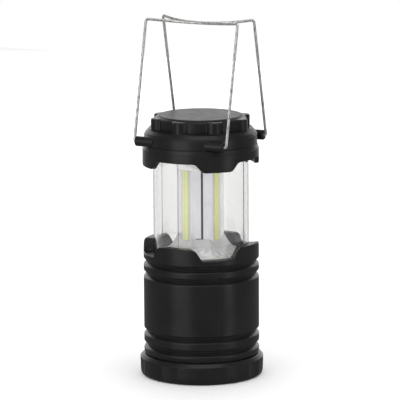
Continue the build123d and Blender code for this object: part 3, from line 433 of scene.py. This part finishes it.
def shapeBarrel(r, z, angle):
    aside = r * np.sin((angle % (math.pi / 2)) - math.pi / 4)
    drop = np.interp(np.abs(aside), notchLine[:, 0], notchLine[:, 1])
    outer = r > 40
    low, high = np.where(outer, 86.0, barrel["rimBottom"]), np.where(outer, 96.1, 96.75)
    newZ = z + drop * np.clip((z - low) / (high - low), 0, 1)
    parting = r * np.sin(angle + math.pi / 4)
    line = (r > 38.5) & (z > 16) & (z < 95.5)
    r = r - line * barrel["partingDepth"] * np.exp(-(parting / barrel["partingHalf"])**2)
    key = np.abs(r * np.sin((angle + math.pi / 4) % (math.pi / 2) - math.pi / 4))
    keyed = (r < 34.5) & (z > 88) & (z < 96.9)
    return r - keyed * barrel["keyHeight"] * (key < barrel["keyHalf"]), newZ


angles = circleAngles(540, (135, 315), 0.8, 13)
gridPiece("barrelShell", [turnedGrid(roundCorners(wall), angles, shapeBarrel)], mouldedAbs, "base",
          ["base_barrel"])

# Bottom cover: a turned cup whose wall is cut back by eight round hollows, each the near side of a
# circle outside the cover, up to a ledge.
cover = {"radius": 44.3, "bore": 40.5, "hollowRadius": 40.0, "hollowDepth": 1.2, "ledge": 12.4,
         "hollows": 8, "firstHollow": -49.5, "lugHalf": 5.0, "lugReach": 1.25}
cup = [(0, 1.4, 0), (11.6, 1.4, 0.2), (12.0, 0.8, 0.2), (36.4, 0.8, 0.5), (37.4, 0, 0.4),
       (42.6, 0, 0.8), (43.8, 1.4, 0.8), (44.1, 4.0, 1.2), (44.3, 12.25, 0.1), (44.3, 12.6, 0.5),
       (42.0, 15.2, 0.6), (40.5, 15.2, 0.2), (40.5, 10.5, 0), (40.5, 10.4, 0), (40.5, 8.0, 0),
       (40.5, 7.9, 0), (40.5, 2.6, 0.3), (0, 2.6, 0)]


def shapeCover(r, z, angle):
    pitch = 2 * math.pi / cover["hollows"]
    turnBy = (angle - math.radians(cover["firstHollow"]) + pitch / 2) % pitch - pitch / 2
    away = cover["radius"] + cover["hollowRadius"] - cover["hollowDepth"]
    inside = np.maximum(cover["hollowRadius"]**2 - (away * np.sin(turnBy))**2, 0)
    past = r - (away * np.cos(turnBy) - np.sqrt(inside))
    soft = 0.5 * (past + np.sqrt(past**2 + 0.01)) - 0.01
    cut = np.where((r > 42.2) & (z < cover["ledge"]), np.maximum(soft, 0), 0)
    lug = np.abs((np.degrees(angle) + 60) % 120 - 60) < cover["lugHalf"]
    reach = cover["lugReach"] * lug * ((r > 40) & (r < 41) & (z > 7.95) & (z < 10.45))
    return r - cut - reach, z


gridPiece("coverCup", [turnedGrid(roundCorners(cup, closed=False), circleAngles(480), shapeCover)],
          mouldedAbs, "cover", ["bottom_cover"], poles=True)
print("base done")

# Collar: a turned ring. Its skirt is lifted between the tabs by the tab line, and four hollow
# bosses for the bails are small turned shapes laid along X.
collar = {"radius": 41.6, "waist": 40.4, "bottom": 158.3, "top": 178.3, "tabHeight": 6.1,
          "tabTip": 10.9, "tabRoot": 15.9, "tabBend": 2.0, "tabInner": 38.4, "line": 0.35,
          "bossRadius": 3.6, "bossTip": 34.97, "bossRoot": 20.6, "bore": 1.06, "boreEnd": 23.4,
          "pivotY": 31.6, "pivotZ": 171.0}
low = collar["bottom"]
ring = [(34.4, low, 0.1), (collar["tabInner"], low, 0), (collar["tabInner"], low - 6.1, 0.05),
        (collar["radius"], low - 6.1, 0.9), (collar["radius"], low + 6.3, 0.15),
        (collar["radius"] - collar["line"], low + 6.45, 0.05),
        (collar["radius"] - collar["line"], low + 6.85, 0.05), (collar["waist"] + 0.1, low + 9.2, 0.15),
        (collar["waist"] - collar["line"], low + 9.35, 0.05),
        (collar["waist"] - collar["line"], low + 9.75, 0.05), (collar["waist"], low + 9.9, 0.15),
        (collar["waist"], low + 16.1, 0.2), (collar["waist"] - collar["line"], low + 16.3, 0.05),
        (collar["waist"] - collar["line"], low + 16.7, 0.05), (collar["waist"] - 0.9, low + 17.8, 0.3),
        (37.5, collar["top"], 0.4), (33.5, collar["top"], 0.2), (33.5, low + 18.1, 0.2),
        (38.2, low + 16.0, 0.5), (38.2, low + 9.0, 0.5), (39.4, low + 7.0, 0.5), (39.4, low + 2.2, 0.2),
        (35.7, low + 2.2, 0.1), (35.7, low + 0.85, 0.1), (34.4, low + 0.85, 0.1)]
tabEdge = roundCorners([(0, -6.1, 0), (collar["tabTip"], -6.1, collar["tabBend"]),
                        (collar["tabRoot"], 0, collar["tabBend"]), (60, 0, 0)], 9, False)


def shapeCollar(r, z, angle):
    aside = r * np.sin((angle % (math.pi / 2)) - math.pi / 4)
    lift = collar["tabHeight"] + np.interp(np.abs(aside), tabEdge[:, 0], tabEdge[:, 1])
    outer = r > 39
    high, base = np.where(outer, low + 5.7, low), np.where(outer, low - 5.1, low - 6.05)
    return r, z + lift * np.clip((high - z) / (high - base), 0, 1)


bossOutline = roundCorners([
    (collar["bossRadius"], collar["bossRoot"], 0), (collar["bossRadius"], collar["bossTip"], 0.9),
    (collar["bore"], collar["bossTip"], 0.15), (collar["bore"], collar["boreEnd"], 0),
    (0.02, collar["boreEnd"], 0), (0.02, collar["bossRoot"], 0)])
bossGrid = turnedGrid(bossOutline, circleAngles(48))
bosses = [np.stack([end * bossGrid[..., 2], side * collar["pivotY"] + bossGrid[..., 0],
                    collar["pivotZ"] + bossGrid[..., 1]], -1) for end in (-1, 1) for side in (-1, 1)]
gridPiece("collarRing", [turnedGrid(roundCorners(ring), circleAngles(540), shapeCollar)], mouldedAbs,
          "head", ["collar"])
gridPiece("bailBosses", bosses, mouldedAbs, "head", ["collar"])

# Knob: its wall follows the largest of a plain circle and eight grip circles, eased together by
# half of (a + b + root of (a-b)^2 + c^2).
knob = {"valley": 32.6, "outer": 36.7, "gripRadius": 5.8, "grips": 8, "ease": 0.7, "gripTop": 186.9,
        "top": 187.6, "recess": 29.9, "deck": 186.9, "slope": 0.9, "spread": 1.2}
cap = [(0, 184.9, 0), (30.4, 184.9, 0.5), (30.4, 174.3, 0.2), (33.3, 174.3, 0.2), (33.3, 178.3, 0),
       (37.0, 178.3, 0.1), (37.0, 179.0, 0.25), (knob["outer"], 179.0, 0.1),
       (knob["outer"], knob["gripTop"], 1.3), (knob["recess"] + 1.4, knob["gripTop"], 0.3),
       (knob["recess"] + 0.4, knob["top"], 0.25),
       (knob["recess"], knob["top"], 0.1),
       (knob["recess"], knob["deck"], 0.1), (0, knob["deck"], 0)]


def shapeKnob(r, z, angle):
    pitch = 2 * math.pi / knob["grips"]
    turnBy = (angle + pitch / 2) % pitch - pitch / 2
    centre = knob["outer"] - knob["gripRadius"]
    inside = knob["gripRadius"]**2 - (centre * np.sin(turnBy))**2
    grip = np.where(inside > 0, centre * np.cos(turnBy) + np.sqrt(np.maximum(inside, 0)), 28.0)
    follow = 0.5 * (knob["valley"] + grip + np.sqrt((knob["valley"] - grip)**2 + knob["ease"]**2))
    follow = np.where(inside > 0, follow, knob["valley"])
    wallPoint = (r > 34) & (z > 178.95) & (z < 187.2)
    lower = knob["slope"] * np.clip(1 - (follow - knob["valley"]) / knob["spread"], 0, 1)
    newR = np.where(wallPoint, np.maximum(r - knob["outer"] + follow, knob["valley"]), r)
    return newR, z - lower * (wallPoint & (z > 184))


gridPiece("knobCap", [turnedGrid(roundCorners(cap, closed=False), circleAngles(480), shapeKnob)],
          mouldedAbs, "head", ["top_cap"], poles=True)
print("head done")

# Flare at the column's foot: in each direction it runs from the column's hexagon to the tube, and
# its height falls as (1-t)^2.2. It starts higher at the corners, so folds run out from them, and
# small pleats in staggered rings scatter the light.
flare = {"flat": 12.5, "corner": 16.7, "rim": 31.9, "faceTop": 97.2, "cornerTop": 100.6, "edge": 89.0,
         "foot": 84.8, "wall": 1.0, "power": 2.2, "pleats": 27, "pleatDepth": 1.1, "rings": 4}


def hexagonReach(angle):
    faceTurn = (angle + math.pi / 3) % (2 * math.pi / 3) - math.pi / 3
    cornerTurn = angle % (2 * math.pi / 3) - math.pi / 3
    return np.minimum(flare["flat"] / np.cos(faceTurn), flare["corner"] / np.cos(cornerTurn))


def flareHeight(angle, t):
    faceTurn = np.abs((angle + math.pi / 3) % (2 * math.pi / 3) - math.pi / 3)
    rise = np.interp(faceTurn, [0.0, 0.42, 0.74, math.pi / 3], [0.0, 0.0, 1.0, 1.0])
    start = flare["faceTop"] + rise * (flare["cornerTop"] - flare["faceTop"])
    place = flare["pleats"] * angle / (2 * math.pi) + 0.5 * np.round(t * flare["rings"])
    pleat = np.abs(place % 1 - 0.5) * flare["pleatDepth"] * np.sin(math.pi * t)
    return flare["edge"] + (start - flare["edge"]) * (1 - t)**flare["power"] - pleat


angle = circleAngles(360)[None, :]
t = np.linspace(0, 1, 25)[:, None]
reach = hexagonReach(angle)
r, z = reach + t * (flare["rim"] - reach), flareHeight(angle, t)
under = np.clip(t[::-1] * 0.94, 0, 1)
whole = np.ones_like(angle)
r = np.vstack([r, whole * flare["rim"], whole * (flare["rim"] - flare["wall"]),
               reach + under * (flare["rim"] - reach)])
z = np.vstack([z, whole * flare["foot"], whole * flare["foot"],
               flareHeight(angle, under) - flare["wall"]])
# the shell's top, its outer edge and its underside make one closed ring of rows
gridPiece("footFlare", [np.stack([r * np.cos(angle), r * np.sin(angle), z], -1)], metallisedDish,
          "head", ["bottom_reflector"])


# Bail: a round wire carried along its path, which runs foot, leg, bowed bar, leg, foot. Each ring
# stands square to the path, and both ends close in a point.
bail = {"wire": 1.0, "half": 36.37, "footEnd": 23.97, "length": 87.12, "bow": 11.85, "lean": 12.47,
        "footBend": 1.5, "cornerBend": 3.4, "pivotY": 31.6, "pivotZ": 171.0}


def bailGrid(side):
    arcRadius = (bail["half"]**2 + bail["bow"]**2) / (2 * bail["bow"])
    endTurn = math.asin(bail["half"] / arcRadius)
    turnBy = np.linspace(-endTurn * 0.86, endTurn * 0.86, 49)
    bar = np.stack([arcRadius * np.sin(turnBy), arcRadius * np.cos(turnBy) - arcRadius + bail["bow"],
                    np.full_like(turnBy, bail["length"])], -1)
    start = roundCorners([(-bail["footEnd"], 0, 0, 0), (-bail["half"], 0, 0, bail["footBend"]),
                          (-bail["half"], 0, bail["length"], bail["cornerBend"]),
                          (*bar[0], 0)], 9, False)
    path = np.vstack([start[:-1], bar, (start[:-1] * (-1, 1, 1))[::-1]])
    path = np.vstack([path[:1], path[:1] - (0.15, 0, 0), path[1:-1], path[-1:] + (0.15, 0, 0), path[-1:]])
    size = np.full(len(path), bail["wire"])
    size[[0, -1]] = 0.02
    along = np.gradient(path, axis=0)
    along[[0, 1]], along[[-2, -1]] = (-1, 0, 0), (1, 0, 0)
    along /= np.linalg.norm(along, axis=1)[:, None]
    across = np.array([0, 1, 0]) - along[:, 1:2] * along
    across /= np.linalg.norm(across, axis=1)[:, None]
    other = np.cross(along, across)
    spin = circleAngles(20)
    ringPoint = (np.cos(spin)[None, :, None] * across[:, None] + np.sin(spin)[None, :, None] * other[:, None])
    local = path[:, None] + size[:, None, None] * ringPoint
    lean = math.radians(bail["lean"])
    x = side * local[..., 0]
    y = -side * bail["pivotY"] + side * (math.cos(lean) * local[..., 1] + math.sin(lean) * local[..., 2])
    z = bail["pivotZ"] - math.sin(lean) * local[..., 1] + math.cos(lean) * local[..., 2]
    return np.stack([x, y, z], -1)


for name, side, body, node in (("frontBailWire", 1, "front_bail", "bail_front"),
                               ("rearBailWire", -1, "rear_bail", "bail_rear")):
    gridPiece(name, [bailGrid(side)], platedWire, body, [node], poles=True)
print("bails done")

# Camera: a long lens a little above the lantern, turned 27 degrees from the front.
cameraSet = {"azimuth": 27.4, "distance": 2.154, "height": 0.517, "aim": 0.126, "lens": 275.3,
             "shift": -0.0024, "roll": -0.34}
camera = bpy.data.objects.new("camera", bpy.data.cameras.new("camera"))
bpy.context.scene.collection.objects.link(camera)
turn = math.radians(cameraSet["azimuth"])
camera.location = (cameraSet["distance"] * math.sin(turn), -cameraSet["distance"] * math.cos(turn),
                   cameraSet["height"])
camera.rotation_euler = (math.pi / 2 - math.atan2(cameraSet["height"] - cameraSet["aim"],
                                                  cameraSet["distance"]), 0, turn)
camera.rotation_euler.rotate_axis("Z", math.radians(cameraSet["roll"]))
camera.data.shift_x = cameraSet["shift"]
camera.data.lens = cameraSet["lens"]
camera.data.sensor_width = 36.0
bpy.context.scene.camera = camera

# Studio: a pale floor in a white surround. Gloss sees a dimmer room than the eye does, so that
# black plastic stays black. Soft boxes stand at the left, right, top and back, and the eye can't
# see them.
studio = {"surround": 1.0, "room": 0.17, "floor": "#fcfcfc", "floorSize": 3.0}
softBoxes = [  # name, degrees right of the camera, degrees up, distance, width, height, brightness
    ("keyLight", -40, 12, 1.6, 1.1, 1.6, 0.8),
    ("fillLight", 56, 10, 1.6, 0.5, 1.6, 0.8),
    ("topLight", 10, 70, 1.6, 1.4, 1.4, 0.65),
    ("backLight", 180, 14, 1.7, 2.8, 1.4, 1.0),
]
world = bpy.data.worlds.new("studio")
bpy.context.scene.world = world
world.use_nodes = True
tree = world.node_tree
tree.nodes.clear()
surround = addNode(tree, "Background", {"Color": (1, 1, 1, 1), "Strength": studio["surround"]})
room = addNode(tree, "Background", {"Color": (1, 1, 1, 1), "Strength": studio["room"]})
ray = addNode(tree, "LightPath")
both = addNode(tree, "MixShader", links={0: ray.outputs["Is Glossy Ray"],
                                         1: surround.outputs[0], 2: room.outputs[0]})
addNode(tree, "OutputWorld", links={"Surface": both.outputs[0]})
floorMesh = bpy.data.meshes.new("floor")
half = studio["floorSize"] / 2
floorMesh.from_pydata([(-half, -half, 0), (half, -half, 0), (half, half, 0), (-half, half, 0)], [],
                      [(0, 1, 2, 3)])
floor = bpy.data.objects.new("floor", floorMesh)
bpy.context.scene.collection.objects.link(floor)
floor.location.z = -0.0002
floor.visible_glossy = False
floorPaint, tree, shader, spot = startMaterial("floorPaint")
shader.inputs["Base Color"].default_value = linearColour(studio["floor"])
shader.inputs["Roughness"].default_value = 0.8
floorMesh.materials.append(floorPaint)
for name, aside, up, away, width, tall, brightness in softBoxes:
    lamp = bpy.data.objects.new(name, bpy.data.lights.new(name, "AREA"))
    bpy.context.scene.collection.objects.link(lamp)
    a, e = turn + math.radians(aside), math.radians(up)
    lamp.location = (away * math.sin(a) * math.cos(e), -away * math.cos(a) * math.cos(e),
                     0.12 + away * math.sin(e))
    lamp.rotation_euler = (math.pi / 2 - e, 0, a)
    lamp.data.shape = "RECTANGLE"
    lamp.data.size = width
    lamp.data.size_y = tall
    lamp.data.energy = brightness * math.pi * width * tall
    lamp.visible_camera = lamp.visible_transmission = False
bpy.context.scene.view_settings.view_transform = "Standard"
print("studio done")
